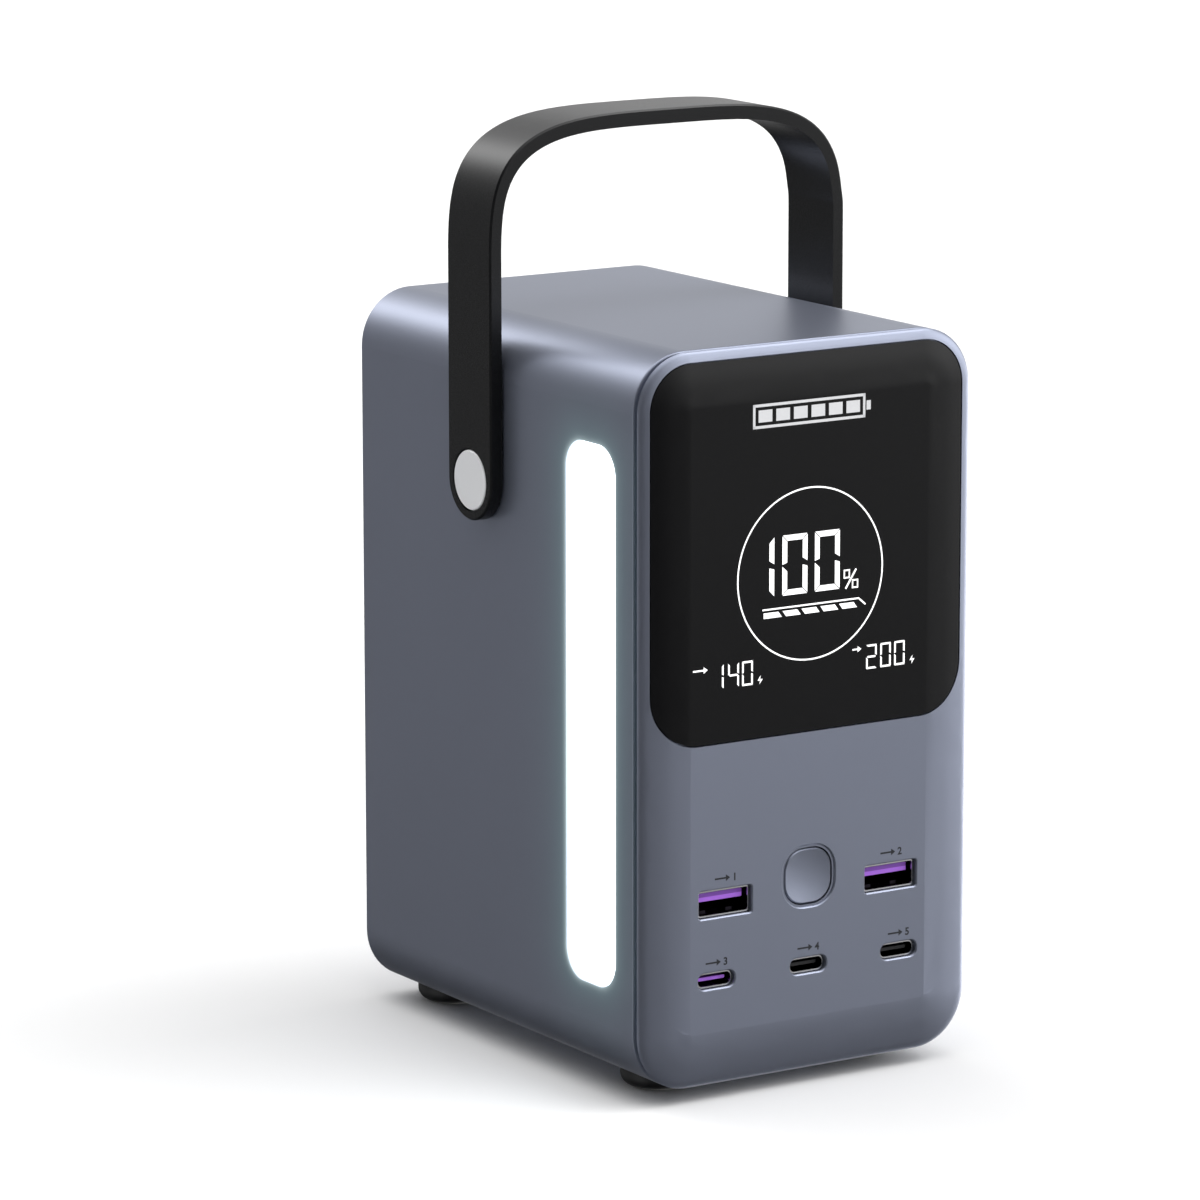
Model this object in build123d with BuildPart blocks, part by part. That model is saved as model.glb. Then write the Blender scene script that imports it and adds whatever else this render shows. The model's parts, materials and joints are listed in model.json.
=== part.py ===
from build123d import *
import math
import os

# Portable power station, in millimetres. +Z is up, the front faces -Y, +X is its right-hand side.
# The origin is on the surface it stands on, under the centre of its box.

# ---- Driving dimensions: housing -------------------------------------------------------------
BODY_W = 85.0            # sleeve, side to side
BODY_H = 159.2           # sleeve, bottom to top
SLEEVE_L = 112.0         # sleeve, front edge to rear edge
CORNER_R = 12.5          # outside corner, looking from the front
WALL = 2.4
FOOT_H = 3.5             # clear height under the sleeve
FRONT_RISE = 3.85        # crown of the front panel ahead of the sleeve
REAR_RISE = 0.65         # rear cover behind the sleeve
LIP_R = 0.45             # round on the sleeve's end edges
SHELL_GAP = 0.1          # between the sleeve and what plugs into it

DEPTH = SLEEVE_L + FRONT_RISE + REAR_RISE
FRONT_Y = -DEPTH / 2
REAR_Y = DEPTH / 2
SLEEVE_FRONT = FRONT_Y + FRONT_RISE
SLEEVE_REAR = REAR_Y - REAR_RISE
BODY_MID_Z = FOOT_H + BODY_H / 2
BODY_TOP = FOOT_H + BODY_H
FLOOR_Z = FOOT_H + WALL  # inside floor of the sleeve
INNER_W = BODY_W - 2 * WALL
INNER_H = BODY_H - 2 * WALL
INNER_R = CORNER_R - WALL
INNER_X = INNER_W / 2

# ---- Rear cover ------------------------------------------------------------------------------
COVER_SET_IN = 3.5       # how far the cover plugs into the sleeve
COVER_T = 2.4
COVER_INSIDE = REAR_Y - COVER_T

# ---- Front panel -----------------------------------------------------------------------------
GROOVE_W = 1.5           # shadow groove between sleeve and panel
GROOVE_DEEP = 0.9
PILLOW_H = FRONT_RISE - GROOVE_W
PILLOW_REACH = 12.0      # how far in from its edge the face curves
PILLOW_POWER = 1.3       # superellipse power of its section
PILLOW_STEPS = 6
SPIGOT_L = 5.0
SPIGOT_WALL = 2.0
PANEL_BACK = SLEEVE_FRONT
CLIP_Z = (45.0, 121.0)

# ---- Display ---------------------------------------------------------------------------------
POCKET_W = 80.2
POCKET_H = 82.2
DISPLAY_Z = 119.45
POCKET_TOP_R = 10.2
POCKET_LOW_R = 11.5
LENS_GAP = 0.3
LENS_SET_BACK = 0.1
LENS_BACK = FRONT_Y + 2.0
TAPE_T = 0.2
WINDOW_W = 62.0
WINDOW_H = 64.0
MODULE_FRONT = LENS_BACK + 0.35
MODULE_T = 3.4
DISPLAY_BOARD_Y = PANEL_BACK + 2.5
DISPLAY_BOARD = 73.0
DISPLAY_BOSS_X = 34.0
DISPLAY_BOSS_DZ = 33.5

# ---- Power button ----------------------------------------------------------------------------
BUTTON_Z = 46.6
BUTTON_SIZE = 12.0
BUTTON_R = 4.7
BUTTON_GAP = 0.3
BUTTON_RECESS = 0.45
BUTTON_BEVEL = 0.4
DISH_DEEP = 0.55
DISH_REACH = 7.0         # radius at which the dish runs out, past the cap's sides
FLANGE_SIZE = 14.8
FLANGE_T = 0.8
BUTTON_TRAVEL = 0.5
STEM_R = 2.2

# ---- Ports -----------------------------------------------------------------------------------
USB_A_X = 21.5
USB_A_Z = 43.7
USB_C_X = 23.73
USB_C_Z = 26.9
PORT_SET_BACK = 1.0
SHELL_L = 14.0
SHELL_T = 0.3
USB_A_W = 13.1
USB_A_H = 5.7
USB_C_W = 8.94
USB_C_H = 3.26
TONGUE_A = (11.1, 1.84)
TONGUE_A_IN = 1.3        # tongue's front edge behind the mouth of its shell
TONGUE_A_TOP = 0.48      # clear height over the tongue
TONGUE_C = (6.69, 0.7)
TONGUE_C_IN = 1.2
SPRING_X = 3.4
SPRING_W = 1.6
SPRING_H = 0.45
SPRING_IN = 3.0
PORT_MOUTH = FRONT_Y + PORT_SET_BACK
PORT_BOARD_Y = PORT_MOUTH + SHELL_L
BOARD_T = 1.6
PORT_BOSSES = [(x, z) for x in (-27.0, 27.0) for z in (18.5, 54.0)]
USB_A_PLACES = [(-USB_A_X, USB_A_Z), (USB_A_X, USB_A_Z)]
USB_C_PLACES = [(-USB_C_X, USB_C_Z), (0.0, USB_C_Z), (USB_C_X, USB_C_Z)]

# ---- Handle and its pivots -------------------------------------------------------------------
PIVOT_Y = 5.35
PIVOT_Z = 127.9
HANDLE_X = 46.13         # outer face of each leg
STRAP_T = 2.9
STRAP_W = 17.7
STRAP_TOP_T = 3.4
ARCH_Z = 172.85          # where the legs start to curve over
ARCH_H = 33.97
ARCH_POWER = 3.6         # superellipse power of the outside
ARCH_POWER_IN = 3.87
STRAP_BEVEL = 0.4
DISC_R = 6.6
DISC_T = 1.3
DISC_GAP = 0.3
SEAT_X = HANDLE_X - 1.45  # floor of the recess that takes the disc
SHOULDER_R = 4.0
BUSH_R = 5.5
RUNNING = 0.05
STUD_R = 2.5
PLATE_T = 1.2
NUT_H = 3.5

# ---- Light strip -----------------------------------------------------------------------------
LIGHT_Y = -37.56
LIGHT_Z = 83.2
LIGHT_W = 19.6
LIGHT_H = 117.6
LIGHT_R = 6.5
LIGHT_SET_BACK = 1.4
LIGHT_GAP = 0.1
LIGHT_RIM_R = 0.25
LIGHT_FLANGE = 1.4
TRAY_DEEP = 6.0

# ---- Battery pack ----------------------------------------------------------------------------
CELL_R = 16.1
CELL_L = 70.0
CELL_PITCH = 33.0
PACK_Y = 19.0
HOLDER_W = 67.0
HOLDER_H = 6.0
BUS_T = 0.3
CELL_BOTTOM = 9.9
LAYER_2 = CELL_BOTTOM + CELL_L + BUS_T
PACK_TOP = LAYER_2 + CELL_L
CELL_PLACES = [(sx * CELL_PITCH / 2, PACK_Y + sy * CELL_PITCH / 2) for sx in (-1, 1) for sy in (-1, 1)]
ROD_PLACES = [(sx * 30.5, PACK_Y + sy * 30.5) for sx in (-1, 1) for sy in (-1, 1)]
TRAY_T = 1.5
TRAY_SCREWS = [(x, y) for x in (-24.0, 24.0) for y in (-28.0, 2.0)]

# ---- Boards ----------------------------------------------------------------------------------
MAIN_Y = -24.8           # front face of the main power board
MAIN_BOTTOM = 9.5
MAIN_TOP = 84.0
STANDOFFS = [(x, z) for x in (-26.0, 26.0) for z in (12.9, 77.0)]
PACK_FRONT = PACK_Y - HOLDER_W / 2
BMS_Z = 151.4
BMS_TOP = BMS_Z + BOARD_T
FOOT_PLACES = [(x, y) for x in (-25.5, 25.5) for y in (-38.5, 46.5)]
REAR_BOSSES = [(x, z) for x in (-37.1, 37.1) for z in (22.0, 144.0)]

pieces = {}


def facing_front(y):
    """Plane at y that looks forward: local x is X, local y is Z."""
    return Plane.XZ.offset(-y)


def facing_rear(y):
    """Plane at y that looks to the rear: local x is -X, local y is Z."""
    return Plane(origin=(0, y, 0), x_dir=(-1, 0, 0), z_dir=(0, 1, 0))


def facing_right(x):
    """Plane at x that looks to +X: local x is Y, local y is Z."""
    return Plane.YZ.offset(x)


def level(z):
    """Level plane at height z."""
    return Plane.XY.offset(z)


def blocks(plane, places, width, height, thick, corner=0.0):
    """Equal plates or blocks that stand on a plane."""
    with BuildPart() as group:
        with BuildSketch(plane):
            with Locations(*places):
                if corner:
                    RectangleRounded(width, height, corner)
                else:
                    Rectangle(width, height)
        extrude(amount=thick)
    return group


def screws(seat, places, head_r, head_h, shank_r, shank_l):
    """Cross-recessed screws: the seat plane looks out of the heads."""
    with BuildPart() as group:
        with BuildSketch(seat):
            with Locations(*places):
                Circle(shank_r)
        extrude(amount=-shank_l)
        with BuildSketch(seat):
            with Locations(*places):
                Circle(head_r)
        extrude(amount=head_h)
        with BuildSketch(seat.offset(head_h)):
            with Locations(*places):
                Rectangle(head_r * 1.1, head_r * 0.28)
                Rectangle(head_r * 0.28, head_r * 1.1)
        extrude(amount=-head_h * 0.5, mode=Mode.SUBTRACT)
    return group


def lead(route, bend_r, wire_r):
    """Insulated wire: straight runs joined by tangent arcs."""
    with BuildPart() as wire:
        with BuildLine() as path:
            FilletPolyline(*route, radius=bend_r)
        with BuildSketch(Plane(origin=path.line @ 0, z_dir=path.line % 0)):
            Circle(wire_r)
        sweep()
    return wire


def arch_points(half_w, height, power, steps=10):
    """Points of half a superellipse, from the left leg over to the right leg."""
    points = []
    for i in range(2 * steps + 1):
        angle = math.pi * (1 - i / (2 * steps))
        x = half_w * math.copysign(abs(math.cos(angle)) ** (2 / power), math.cos(angle))
        z = ARCH_Z + height * abs(math.sin(angle)) ** (2 / power)
        points.append((x, z))
    return points


# ---- Housing sleeve --------------------------------------------------------------------------
with BuildPart() as sleeve:
    with BuildSketch(facing_front(SLEEVE_FRONT)):
        with Locations((0, BODY_MID_Z)):
            RectangleRounded(BODY_W, BODY_H, CORNER_R)
    extrude(amount=-SLEEVE_L)
    end_faces = sleeve.faces().filter_by(Axis.Y)
    fillet(end_faces.edges(), LIP_R)
    with BuildSketch(facing_front(SLEEVE_FRONT)):
        with Locations((0, BODY_MID_Z)):
            RectangleRounded(INNER_W, INNER_H, INNER_R)
    extrude(amount=-SLEEVE_L, mode=Mode.SUBTRACT)
    # posts for the rear cover's screws, standing along the side walls
    with BuildSketch(facing_front(SLEEVE_REAR - COVER_SET_IN)):
        with Locations(*REAR_BOSSES):
            Circle(3.4)
    extrude(amount=9.0)
    with BuildSketch(facing_front(SLEEVE_REAR - COVER_SET_IN)):
        with Locations(*REAR_BOSSES):
            Circle(1.25)
    extrude(amount=8.0, mode=Mode.SUBTRACT)
    # slot for the light strip, in the left wall only
    with BuildSketch(facing_right(-BODY_W / 2 - 1)):
        with Locations((LIGHT_Y, LIGHT_Z)):
            RectangleRounded(LIGHT_W, LIGHT_H, LIGHT_R)
    extrude(amount=WALL + 2, mode=Mode.SUBTRACT)
    left_face = sleeve.faces().filter_by(Axis.X).sort_by(Axis.X)[0]
    fillet(left_face.inner_wires().edges(), LIGHT_RIM_R)
    # bores for the pivot bolts, through both side walls
    with BuildSketch(facing_right(0)):
        with Locations((PIVOT_Y, PIVOT_Z)):
            Circle(SHOULDER_R + 0.1)
    extrude(amount=BODY_W, both=True, mode=Mode.SUBTRACT)
    # pockets for the feet
    with BuildSketch(level(FOOT_H - 1)):
        with Locations(*FOOT_PLACES):
            Circle(8.6)
    extrude(amount=2.2, mode=Mode.SUBTRACT)
    # blind holes for the tray screws
    with BuildSketch(level(FLOOR_Z)):
        with Locations(*TRAY_SCREWS):
            Circle(1.1)
    extrude(amount=-1.6, mode=Mode.SUBTRACT)
    # recesses for the front panel's clips
    for z in CLIP_Z:
        with BuildSketch(facing_front(SLEEVE_FRONT + 3.2)):
            with Locations((0, z)):
                Rectangle(INNER_W + 1.2, 10.4)
        extrude(amount=-1.6, mode=Mode.SUBTRACT)
pieces["housing_sleeve"] = sleeve

# ---- Crowned face shared by the front panel and its lens -------------------------------------
PILLOW_BASE = SLEEVE_FRONT - GROOVE_W
pillow_sections = []
for step in range(PILLOW_STEPS + 1):
    rise = math.sin(math.pi / 2 * step / PILLOW_STEPS)
    inset = PILLOW_REACH * (1 - (1 - rise ** 2) ** (1 / PILLOW_POWER))
    pillow_sections.append((rise * PILLOW_H, inset))

with BuildPart() as pillow:
    for rise, inset in pillow_sections:
        with BuildSketch(facing_front(PILLOW_BASE - rise)):
            with Locations((0, BODY_MID_Z)):
                RectangleRounded(BODY_W - 2 * inset, BODY_H - 2 * inset, CORNER_R - inset)
    loft()


def display_outline(margin):
    """Outline of the display, grown or shrunk by a margin; made flat at the origin."""
    with BuildSketch() as outline:
        RectangleRounded(POCKET_W + 2 * margin, POCKET_H + 2 * margin, POCKET_TOP_R + margin)
        with BuildSketch(mode=Mode.INTERSECT):
            with Locations((0, POCKET_H / 2)):
                Rectangle(2 * POCKET_W, POCKET_H)
            RectangleRounded(POCKET_W + 2 * margin, POCKET_H + 2 * margin, POCKET_LOW_R + margin)
    return outline


# ---- Front panel -----------------------------------------------------------------------------
with BuildPart() as front_panel:
    add(pillow.part)
    # floor of the shadow groove
    with BuildSketch(facing_front(PANEL_BACK)):
        with Locations((0, BODY_MID_Z)):
            RectangleRounded(
                BODY_W - 2 * GROOVE_DEEP, BODY_H - 2 * GROOVE_DEEP, CORNER_R - GROOVE_DEEP
            )
    extrude(amount=GROOVE_W)
    # spigot that plugs into the sleeve
    with BuildSketch(facing_front(PANEL_BACK)):
        with Locations((0, BODY_MID_Z)):
            RectangleRounded(INNER_W - 2 * SHELL_GAP, INNER_H - 2 * SHELL_GAP, INNER_R - SHELL_GAP)
            inner_wall = INNER_R - SHELL_GAP - SPIGOT_WALL
            RectangleRounded(
                INNER_W - 2 * SHELL_GAP - 2 * SPIGOT_WALL,
                INNER_H - 2 * SHELL_GAP - 2 * SPIGOT_WALL,
                inner_wall,
                mode=Mode.SUBTRACT,
            )
    extrude(amount=-SPIGOT_L)
    # clip barbs on the spigot's sides
    for z in CLIP_Z:
        for side in (-1, 1):
            with BuildSketch(facing_front(SLEEVE_FRONT + 3.4)):
                with Locations((side * (INNER_X - 0.3), z)):
                    Rectangle(1.2, 10.0)
            extrude(amount=-1.2)
    # bosses for the display board and the port board
    with BuildSketch(facing_front(PANEL_BACK)):
        with Locations(*[(x, DISPLAY_Z + dz) for x in (-DISPLAY_BOSS_X, DISPLAY_BOSS_X)
                         for dz in (-DISPLAY_BOSS_DZ, DISPLAY_BOSS_DZ)]):
            Circle(2.6)
    extrude(amount=-(DISPLAY_BOARD_Y - PANEL_BACK))
    with BuildSketch(facing_front(DISPLAY_BOARD_Y)):
        with Locations(*[(x, DISPLAY_Z + dz) for x in (-DISPLAY_BOSS_X, DISPLAY_BOSS_X)
                         for dz in (-DISPLAY_BOSS_DZ, DISPLAY_BOSS_DZ)]):
            Circle(0.95)
    extrude(amount=2.3, mode=Mode.SUBTRACT)
    with BuildSketch(facing_front(PANEL_BACK)):
        with Locations(*PORT_BOSSES):
            Circle(2.8)
    extrude(amount=-(PORT_BOARD_Y - PANEL_BACK))
    with BuildSketch(facing_front(PORT_BOARD_Y)):
        with Locations(*PORT_BOSSES):
            Circle(1.0)
    extrude(amount=9.0, mode=Mode.SUBTRACT)
    # pocket for the lens and its tape, and the window behind them
    with BuildSketch(facing_front(LENS_BACK + TAPE_T)):
        with Locations((0, DISPLAY_Z)):
            add(display_outline(0).sketch)
    extrude(amount=10, mode=Mode.SUBTRACT)
    with BuildSketch(facing_front(PANEL_BACK + 1)):
        with Locations((0, DISPLAY_Z)):
            RectangleRounded(WINDOW_W, WINDOW_H, 3)
    extrude(amount=10, mode=Mode.SUBTRACT)
    # shallow recess and opening of the power button
    with BuildSketch(facing_front(FRONT_Y + BUTTON_RECESS)):
        with Locations((0, BUTTON_Z)):
            RectangleRounded(BUTTON_SIZE + 1.6, BUTTON_SIZE + 1.6, BUTTON_R + 0.8)
    extrude(amount=2, mode=Mode.SUBTRACT)
    with BuildSketch(facing_front(PANEL_BACK + 1)):
        with Locations((0, BUTTON_Z)):
            hole = BUTTON_SIZE + 2 * BUTTON_GAP
            RectangleRounded(hole, hole, BUTTON_R + BUTTON_GAP)
    extrude(amount=10, mode=Mode.SUBTRACT)
    # openings of the five sockets
    with BuildSketch(facing_front(PANEL_BACK + 1)):
        with Locations(*USB_A_PLACES):
            RectangleRounded(USB_A_W + 0.5, USB_A_H + 0.4, 0.6)
        with Locations(*USB_C_PLACES):
            RectangleRounded(USB_C_W + 0.5, USB_C_H + 0.4, 1.7)
    extrude(amount=10, mode=Mode.SUBTRACT)
    # small bevels round the recess and the sockets
    face_edges = front_panel.faces().filter_by(Axis.Y).sort_by(Axis.Y)[0].inner_wires().edges()
    chamfer(face_edges, 0.25)
pieces["front_panel"] = front_panel

# ---- Rear cover ------------------------------------------------------------------------------
with BuildPart() as rear_cover:
    with BuildSketch(facing_rear(SLEEVE_REAR - COVER_SET_IN)):
        with Locations((0, BODY_MID_Z)):
            RectangleRounded(INNER_W - 2 * SHELL_GAP, INNER_H - 2 * SHELL_GAP, INNER_R - SHELL_GAP)
    extrude(amount=COVER_SET_IN + REAR_RISE)
    fillet(rear_cover.faces().sort_by(Axis.Y)[-1].edges(), 0.6)
    # hollowed inside, with solid pads under the screw heads
    with BuildSketch(facing_rear(SLEEVE_REAR - COVER_SET_IN)):
        with Locations((0, BODY_MID_Z)):
            RectangleRounded(INNER_W - 5, INNER_H - 5, INNER_R - 2.5)
        with Locations(*REAR_BOSSES):
            Circle(4.2, mode=Mode.SUBTRACT)
    extrude(amount=COVER_INSIDE - SLEEVE_REAR + COVER_SET_IN, mode=Mode.SUBTRACT)
    with Locations(facing_rear(REAR_Y)):
        with Locations(*REAR_BOSSES):
            CounterBoreHole(radius=1.6, counter_bore_radius=3.2, counter_bore_depth=2.2)
pieces["rear_cover"] = rear_cover
pieces["rear_cover_screws"] = screws(
    facing_rear(REAR_Y - 2.2), REAR_BOSSES, head_r=2.7, head_h=1.6, shank_r=1.2, shank_l=8.5
)

# ---- Feet ------------------------------------------------------------------------------------
with BuildPart() as feet:
    with BuildSketch(level(0)):
        with Locations(*FOOT_PLACES):
            Circle(8.5)
    extrude(amount=FOOT_H + 1.2)
    fillet(feet.faces().filter_by(Axis.Z).group_by(Axis.Z)[0].edges(), 2.6)
pieces["feet"] = feet

# ---- Handle ----------------------------------------------------------------------------------
with BuildPart() as handle:
    with BuildSketch(facing_front(PIVOT_Y)):
        outer = arch_points(HANDLE_X, ARCH_H, ARCH_POWER)
        inner = arch_points(HANDLE_X - STRAP_T, ARCH_H - STRAP_TOP_T, ARCH_POWER_IN)
        low = PIVOT_Z - STRAP_W
        with BuildLine():
            Spline(*outer, tangents=[(0, 1), (0, -1)])
            Line((HANDLE_X, ARCH_Z), (HANDLE_X, low))
            Line((HANDLE_X, low), (HANDLE_X - STRAP_T, low))
            Line((HANDLE_X - STRAP_T, low), (HANDLE_X - STRAP_T, ARCH_Z))
            Spline(*inner, tangents=[(0, 1), (0, -1)])
            Line((-HANDLE_X + STRAP_T, ARCH_Z), (-HANDLE_X + STRAP_T, low))
            Line((-HANDLE_X + STRAP_T, low), (-HANDLE_X, low))
            Line((-HANDLE_X, low), (-HANDLE_X, ARCH_Z))
        make_face()
    extrude(amount=STRAP_W / 2, both=True)
    # rounded lower ends, centred on the pivots
    with BuildSketch(facing_right(0)):
        with Locations((PIVOT_Y, PIVOT_Z)):
            Circle(STRAP_W / 2)
        with Locations((PIVOT_Y, PIVOT_Z + 50)):
            Rectangle(STRAP_W, 100)
    extrude(amount=60, both=True, mode=Mode.INTERSECT)
    outer_faces = [handle.faces().sort_by(Axis.Z)[-1]]
    outer_faces += [handle.faces().filter_by(Axis.X).sort_by(Axis.X)[i] for i in (0, -1)]
    rim = [edge for face in outer_faces for edge in face.edges()]
    chamfer([edge for edge in rim if rim.count(edge) == 1], STRAP_BEVEL)
    # recess for each pivot disc, and the bore for each bush
    for side in (-1, 1):
        with BuildSketch(facing_right(side * SEAT_X)):
            with Locations((PIVOT_Y, PIVOT_Z)):
                Circle(DISC_R + DISC_GAP)
        extrude(amount=side * 5, mode=Mode.SUBTRACT)
    with BuildSketch(facing_right(0)):
        with Locations((PIVOT_Y, PIVOT_Z)):
            Circle(BUSH_R)
    extrude(amount=60, both=True, mode=Mode.SUBTRACT)
pieces["handle"] = handle


def turned_pair(rings):
    """Two mirrored turned pieces on the pivot axis, from rings of (outer r, inner r, x1, x2)."""
    with BuildPart() as pair:
        for outer_r, inner_r, x1, x2 in rings:
            with BuildSketch(facing_right(x1)):
                with Locations((PIVOT_Y, PIVOT_Z)):
                    Circle(outer_r)
                    if inner_r:
                        Circle(inner_r, mode=Mode.SUBTRACT)
            extrude(amount=x2 - x1)
        mirror(about=Plane.YZ)
    return pair


# ---- Pivots ----------------------------------------------------------------------------------
plate_x = INNER_X - PLATE_T
nut_x = plate_x - 0.3 - NUT_H
pieces["pivot_bushes"] = turned_pair(
    [(BUSH_R, SHOULDER_R + RUNNING, HANDLE_X - STRAP_T, SEAT_X - 0.02)]
)
pieces["pivot_washers"] = turned_pair([(7.0, SHOULDER_R + 0.15, BODY_W / 2, BODY_W / 2 + 0.6)])
with BuildPart() as pivot_bolts:
    for radius, x1, x2 in (
        (DISC_R, SEAT_X + 0.1, SEAT_X + 0.1 + DISC_T),
        (SHOULDER_R, plate_x, SEAT_X + 0.1),
        (STUD_R, nut_x - 1.0, plate_x),
    ):
        with BuildSketch(facing_right(x1)):
            with Locations((PIVOT_Y, PIVOT_Z)):
                Circle(radius)
        extrude(amount=x2 - x1)
    chamfer(pivot_bolts.faces().sort_by(Axis.X)[-1].edges(), 0.25)
    mirror(about=Plane.YZ)
pieces["pivot_bolts"] = pivot_bolts
with BuildPart() as pivot_plates:
    with BuildSketch(facing_right(plate_x)):
        with Locations((PIVOT_Y, PIVOT_Z)):
            RectangleRounded(22, 28, 3)
            Circle(SHOULDER_R + 0.1, mode=Mode.SUBTRACT)
    extrude(amount=PLATE_T)
    mirror(about=Plane.YZ)
pieces["pivot_plates"] = pivot_plates
with BuildPart() as pivot_nuts:
    with BuildSketch(facing_right(nut_x)):
        with Locations((PIVOT_Y, PIVOT_Z)):
            RegularPolygon(4.6, 6)
            Circle(STUD_R, mode=Mode.SUBTRACT)
    extrude(amount=NUT_H)
    with BuildSketch(facing_right(nut_x + NUT_H)):
        with Locations((PIVOT_Y, PIVOT_Z)):
            Circle(5.6)
            Circle(STUD_R, mode=Mode.SUBTRACT)
    extrude(amount=0.3)
    mirror(about=Plane.YZ)
pieces["pivot_nuts"] = pivot_nuts

# ---- Display ---------------------------------------------------------------------------------
with BuildPart() as display_lens:
    add(Pos(0, LENS_SET_BACK, 0) * pillow.part)
    with BuildSketch(facing_front(LENS_BACK)):
        with Locations((0, DISPLAY_Z)):
            add(display_outline(-LENS_GAP).sketch)
    extrude(amount=10, mode=Mode.INTERSECT)
pieces["display_lens"] = display_lens
with BuildPart() as lens_tape:
    with BuildSketch(facing_front(LENS_BACK)):
        with Locations((0, DISPLAY_Z)):
            add(display_outline(-1.2).sketch)
            RectangleRounded(WINDOW_W + 3, WINDOW_H + 3, 3, mode=Mode.SUBTRACT)
    extrude(amount=-TAPE_T)
pieces["lens_tape"] = lens_tape
pieces["display_module"] = blocks(
    facing_front(MODULE_FRONT), [(0, DISPLAY_Z)], WINDOW_W - 1, WINDOW_H - 1, -MODULE_T, 2
)
display_screw_places = [(x, DISPLAY_Z + dz) for x in (-DISPLAY_BOSS_X, DISPLAY_BOSS_X)
                        for dz in (-DISPLAY_BOSS_DZ, DISPLAY_BOSS_DZ)]
with BuildPart() as display_board:
    with BuildSketch(facing_front(DISPLAY_BOARD_Y)):
        with Locations((0, DISPLAY_Z)):
            RectangleRounded(DISPLAY_BOARD, DISPLAY_BOARD, 2)
        with Locations(*display_screw_places):
            Circle(1.3, mode=Mode.SUBTRACT)
    extrude(amount=-BOARD_T)
pieces["display_board"] = display_board
pieces["display_board_screws"] = screws(
    facing_rear(DISPLAY_BOARD_Y + BOARD_T), display_screw_places,
    head_r=2.0, head_h=1.2, shank_r=0.9, shank_l=3.6
)
with BuildPart() as display_ribbon:
    with BuildSketch(facing_right(-6)):
        with BuildLine():
            FilletPolyline(
                (DISPLAY_BOARD_Y + BOARD_T + 0.2, 90), (DISPLAY_BOARD_Y + BOARD_T + 0.2, 74),
                (PORT_BOARD_Y - 0.3, 66), (PORT_BOARD_Y - 0.3, 50), radius=4
            )
        trace(line_width=0.3)
    extrude(amount=12)
pieces["display_ribbon"] = display_ribbon

# ---- Power button and switch -----------------------------------------------------------------
SWITCH_FRONT = PORT_BOARD_Y - 3.5
PLUNGER_FRONT = SWITCH_FRONT - 1.4
with BuildPart() as power_button:
    with BuildSketch(facing_front(PANEL_BACK + 0.15)):
        with Locations((0, BUTTON_Z)):
            RectangleRounded(BUTTON_SIZE, BUTTON_SIZE, BUTTON_R)
    extrude(amount=PANEL_BACK + 0.15 - FRONT_Y - 0.25)
    chamfer(power_button.faces().sort_by(Axis.Y)[0].edges(), BUTTON_BEVEL)
    dish_r = (DISH_REACH ** 2 + DISH_DEEP ** 2) / (2 * DISH_DEEP)
    with Locations((0, FRONT_Y + 0.25 + DISH_DEEP - dish_r, BUTTON_Z)):
        Sphere(dish_r, mode=Mode.SUBTRACT)
    with BuildSketch(facing_front(PANEL_BACK + 0.15)):
        with Locations((0, BUTTON_Z)):
            RectangleRounded(FLANGE_SIZE, FLANGE_SIZE, BUTTON_R + 1)
    extrude(amount=-FLANGE_T)
    with BuildSketch(facing_front(PANEL_BACK + 0.15 + FLANGE_T)):
        with Locations((0, BUTTON_Z)):
            Circle(STEM_R)
    extrude(amount=-(PLUNGER_FRONT - 0.05 - PANEL_BACK - 0.15 - FLANGE_T))
pieces["power_button"] = power_button
with BuildPart() as switch_body:
    with BuildSketch(facing_front(PORT_BOARD_Y)):
        with Locations((0, BUTTON_Z)):
            RectangleRounded(6.2, 6.2, 0.5)
    extrude(amount=3.5)
    with BuildSketch(facing_front(SWITCH_FRONT)):
        with Locations((0, BUTTON_Z)):
            Circle(1.8)
    extrude(amount=-2.4, mode=Mode.SUBTRACT)
pieces["switch_body"] = switch_body
with BuildPart() as switch_plunger:
    with BuildSketch(facing_front(PLUNGER_FRONT)):
        with Locations((0, BUTTON_Z)):
            Circle(1.5)
    extrude(amount=-(1.4 + 1.5))
    fillet(switch_plunger.faces().sort_by(Axis.Y)[0].edges(), 0.3)
pieces["switch_plunger"] = switch_plunger

# ---- USB-A sockets ---------------------------------------------------------------------------
TONGUE_DZ = USB_A_H / 2 - SHELL_T - TONGUE_A_TOP - TONGUE_A[1] / 2
with BuildPart() as usb_a_shells:
    with BuildSketch(facing_front(PORT_BOARD_Y)):
        with Locations(*USB_A_PLACES):
            RectangleRounded(USB_A_W, USB_A_H, 0.7)
    extrude(amount=SHELL_L)
    with BuildSketch(facing_front(PORT_MOUTH)):
        with Locations(*USB_A_PLACES):
            RectangleRounded(USB_A_W - 2 * SHELL_T, USB_A_H - 2 * SHELL_T, 0.45)
    extrude(amount=-(SHELL_L - 1), mode=Mode.SUBTRACT)
    # contact springs pressed up from the lower wall
    with BuildSketch(facing_front(PORT_MOUTH + SPRING_IN)):
        with Locations(*[(x + dx, z - USB_A_H / 2 + SHELL_T + SPRING_H / 2 - 0.1)
                         for x, z in USB_A_PLACES for dx in (-SPRING_X, SPRING_X)]):
            Rectangle(SPRING_W, SPRING_H)
    extrude(amount=-5.0)
pieces["usb_a_shells"] = usb_a_shells
pieces["usb_a_tongues"] = blocks(
    facing_front(PORT_MOUTH + TONGUE_A_IN),
    [(x, z + TONGUE_DZ) for x, z in USB_A_PLACES], TONGUE_A[0], TONGUE_A[1],
    -(SHELL_L - 1 - TONGUE_A_IN), 0.2
)
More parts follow.
